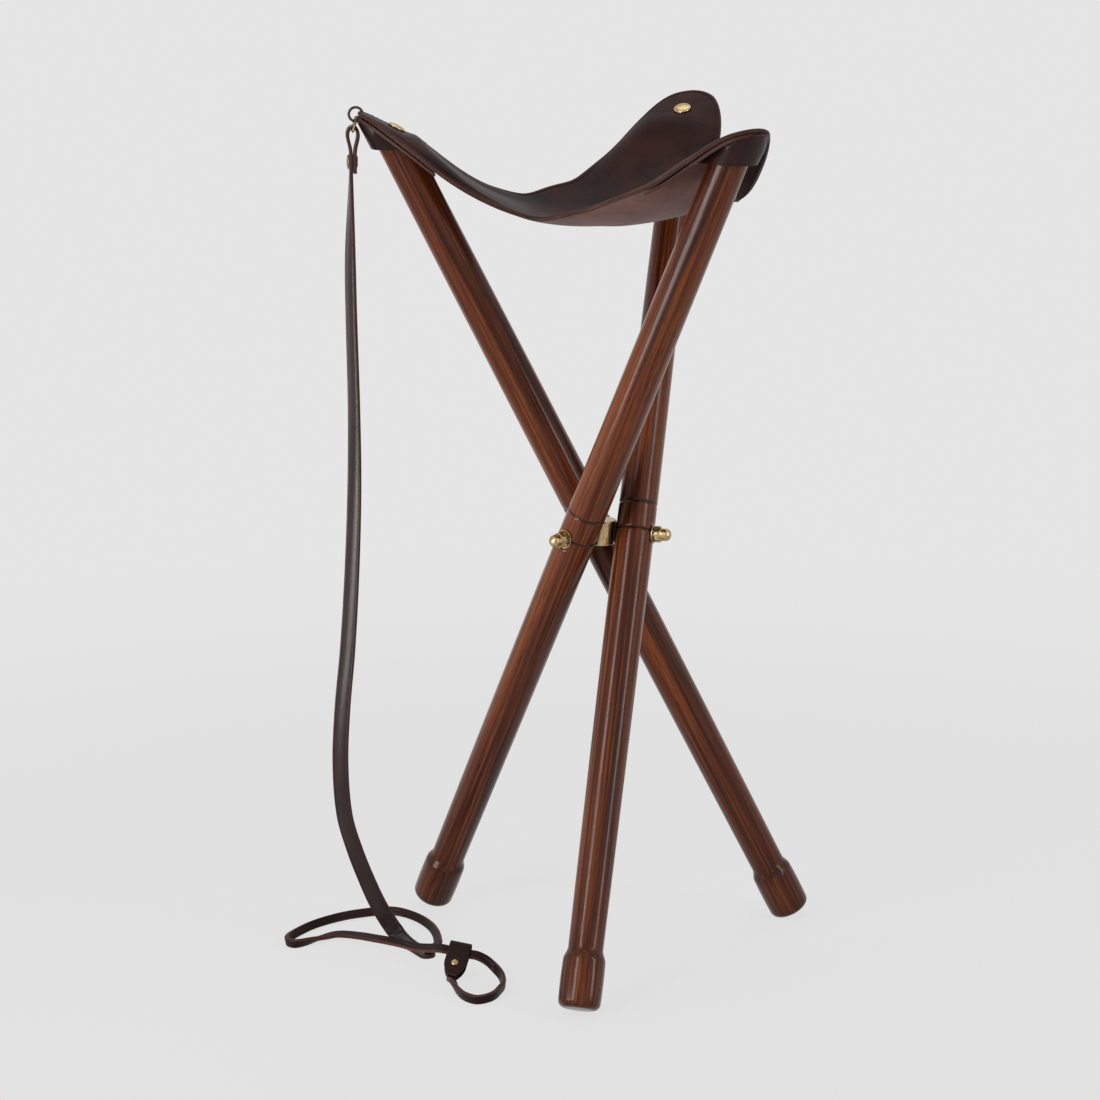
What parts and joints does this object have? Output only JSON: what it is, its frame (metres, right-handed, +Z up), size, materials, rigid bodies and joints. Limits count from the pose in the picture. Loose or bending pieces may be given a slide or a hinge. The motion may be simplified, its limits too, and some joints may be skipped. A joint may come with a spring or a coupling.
{
  "type": "folding tripod stool",
  "caption": "Folding tripod stool: turned, varnished wooden legs crossing on a brass hub, a leather sling seat with sewn corner pockets, and a leather carrying strap.",
  "frame": {"origin": "on the floor, in the middle of the box round the open stool with its rings and straps left out", "axes": "+Z up; the corner with the rings and the strap points to -X, and -Y is the side that the picture was taken from"},
  "size_m": [0.4567, 0.3584, 0.7184],
  "materials": {
    "leg_wood": "dark mahogany, gloss varnish",
    "seat_leather": "very dark brown, polished grain side",
    "pocket_leather": "dark brown, satin",
    "strap_leather": "dark brown, satin",
    "brass": "polished, slightly aged",
    "fibre": "vulcanised fibre, matt",
    "washer_steel": "bright, toothed edge",
    "ring_steel": "darkened"
  },
  "bodies": {
    "left_leg_set": {"left_leg": "leg_wood", "left_pocket": "pocket_leather", "left_seat_screw": "brass", "strap": "strap_leather", "strap_rivet": "brass", "loop_strap": "strap_leather", "keeper": "strap_leather", "keeper_rivet": "brass", "link_ring": "brass", "corner_ring": "ring_steel"},
    "hub_set": {"hub": "brass", "seat_panel": "seat_leather", "left_stud": "brass", "left_thrust_washer": "fibre", "left_flat_washer": "brass", "left_lock_washer": "washer_steel", "left_cap_nut": "brass", "right_stud": "brass", "right_thrust_washer": "fibre", "right_flat_washer": "brass", "right_lock_washer": "washer_steel", "right_cap_nut": "brass", "rear_stud": "brass", "rear_thrust_washer": "fibre", "rear_flat_washer": "brass", "rear_lock_washer": "washer_steel", "rear_cap_nut": "brass"},
    "right_leg_set": {"right_leg": "leg_wood", "right_pocket": "pocket_leather", "right_seat_screw": "brass"},
    "rear_leg_set": {"rear_leg": "leg_wood", "rear_pocket": "pocket_leather", "rear_seat_screw": "brass"}
  },
  "joints": [
    {"name": "fold", "type": "hinge", "parent": "left_leg_set", "child": "hub_set", "pos_m": [0.0045, 0.01503, 0.3592], "axis": [0, -1, 0], "range_deg": [0, 27], "deforming": ["seat_panel", "left_pocket"]},
    {"name": "right_leg_swing", "type": "hinge", "parent": "hub_set", "child": "right_leg_set", "pos_m": [0.0045, 0.01503, 0.3592], "axis": [-0.866, -0.5, 0], "range_deg": [0, 27], "deforming": ["right_pocket"]},
    {"name": "rear_leg_swing", "type": "hinge", "parent": "hub_set", "child": "rear_leg_set", "pos_m": [0.0045, 0.01503, 0.3592], "axis": [0.866, -0.5, 0], "range_deg": [0, 27], "deforming": ["rear_pocket"]}
  ],
  "couplings": [
    {"joint": "right_leg_swing", "follows": "fold", "ratio": 1},
    {"joint": "rear_leg_swing", "follows": "fold", "ratio": 1}
  ]
}
